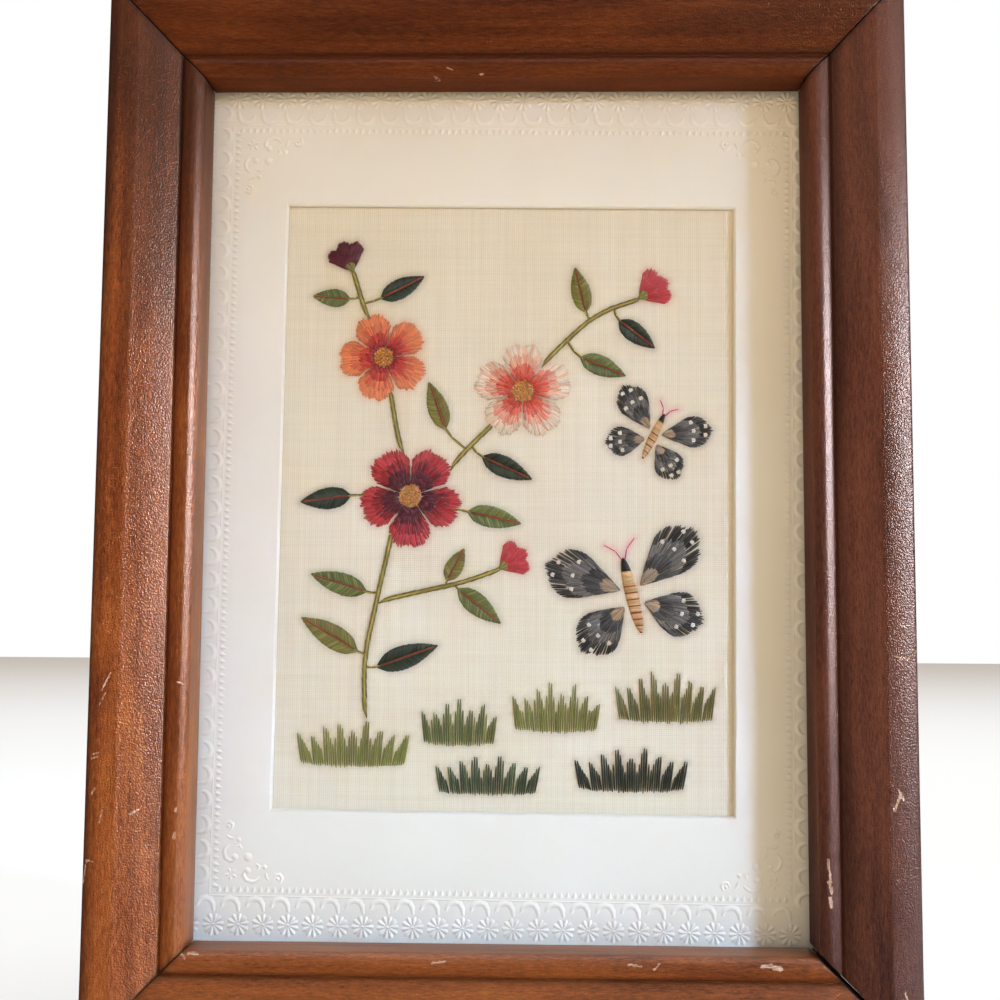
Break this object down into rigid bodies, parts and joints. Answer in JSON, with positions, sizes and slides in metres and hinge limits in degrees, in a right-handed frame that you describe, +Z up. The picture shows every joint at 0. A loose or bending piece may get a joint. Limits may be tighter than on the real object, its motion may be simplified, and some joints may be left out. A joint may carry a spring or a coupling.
{
  "type": "framed silk embroidery picture",
  "caption": "Upright picture of flowers and butterflies worked in silk floss, behind an embossed mat card and glass in a mitred, stained wood moulding.",
  "frame": {"origin": "middle of the box, on the surface that the bottom rail stands on", "axes": "+Z up the picture, +X to its right as seen from the front, -Y out of its face"},
  "size_m": [0.214, 0.025, 0.282],
  "materials": {
    "stained_wood": "red-brown stain under semi-gloss varnish, worn at the edges",
    "clear_glass": "clear float glass",
    "embossed_card": "off-white card with an embossed border",
    "ecru_silk": "sheer plain-weave silk, ecru",
    "backing_board": "plain brown fibre board",
    "floss_crimson": "silk floss with a soft sheen",
    "floss_coral": "silk floss with a soft sheen",
    "floss_scarlet": "silk floss with a soft sheen",
    "floss_plum": "silk floss with a soft sheen",
    "floss_amber": "silk floss with a soft sheen",
    "floss_olive": "silk floss with a soft sheen",
    "floss_leaf_green": "silk floss with a soft sheen",
    "floss_spring_green": "silk floss with a soft sheen",
    "floss_deep_green": "silk floss with a soft sheen",
    "floss_black_green": "silk floss with a soft sheen",
    "floss_slate": "silk floss with a soft sheen",
    "floss_tan": "silk floss with a soft sheen"
  },
  "bodies": {
    "root": {"rail_top": "stained_wood", "rail_right": "stained_wood", "rail_bottom": "stained_wood", "rail_left": "stained_wood", "glass": "clear_glass", "mat_card": "embossed_card", "silk_ground": "ecru_silk", "backing_board": "backing_board", "blossom_crimson": "floss_crimson", "blossom_crimson_knots": "floss_amber", "blossom_coral": "floss_coral", "blossom_coral_knots": "floss_amber", "blossom_scarlet": "floss_scarlet", "blossom_scarlet_knots": "floss_amber", "bud_crimson": "floss_crimson", "bud_plum": "floss_plum", "bud_rose": "floss_crimson", "leaf_low_left": "floss_olive", "leaf_low_right": "floss_deep_green", "leaf_mid_left": "floss_leaf_green", "leaf_crimson_left": "floss_deep_green", "leaf_crimson_right": "floss_leaf_green", "leaf_between_low": "floss_deep_green", "leaf_between_high": "floss_olive", "leaf_coral_right": "floss_leaf_green", "leaf_tip_left": "floss_olive", "leaf_tip_right": "floss_deep_green", "leaf_scarlet_right": "floss_deep_green", "leaf_scarlet_left": "floss_leaf_green", "leaf_branch_high": "floss_olive", "leaf_branch_low": "floss_leaf_green", "stem_main": "floss_olive", "stem_branch": "floss_olive", "stem_coral": "floss_olive", "stem_scarlet": "floss_olive", "stem_tip": "floss_olive", "stem_top": "floss_olive", "butterfly_large_body": "floss_tan", "butterfly_large_forewing_left": "floss_slate", "butterfly_large_forewing_right": "floss_slate", "butterfly_large_hindwing_left": "floss_slate", "butterfly_large_hindwing_right": "floss_slate", "butterfly_small_body": "floss_tan", "butterfly_small_forewing_left": "floss_slate", "butterfly_small_forewing_right": "floss_slate", "butterfly_small_hindwing_left": "floss_slate", "butterfly_small_hindwing_right": "floss_slate", "grass_left": "floss_spring_green", "grass_stem": "floss_leaf_green", "grass_middle": "floss_spring_green", "grass_right": "floss_olive", "grass_low_middle": "floss_deep_green", "grass_low_right": "floss_black_green"}
  },
  "joints": []
}
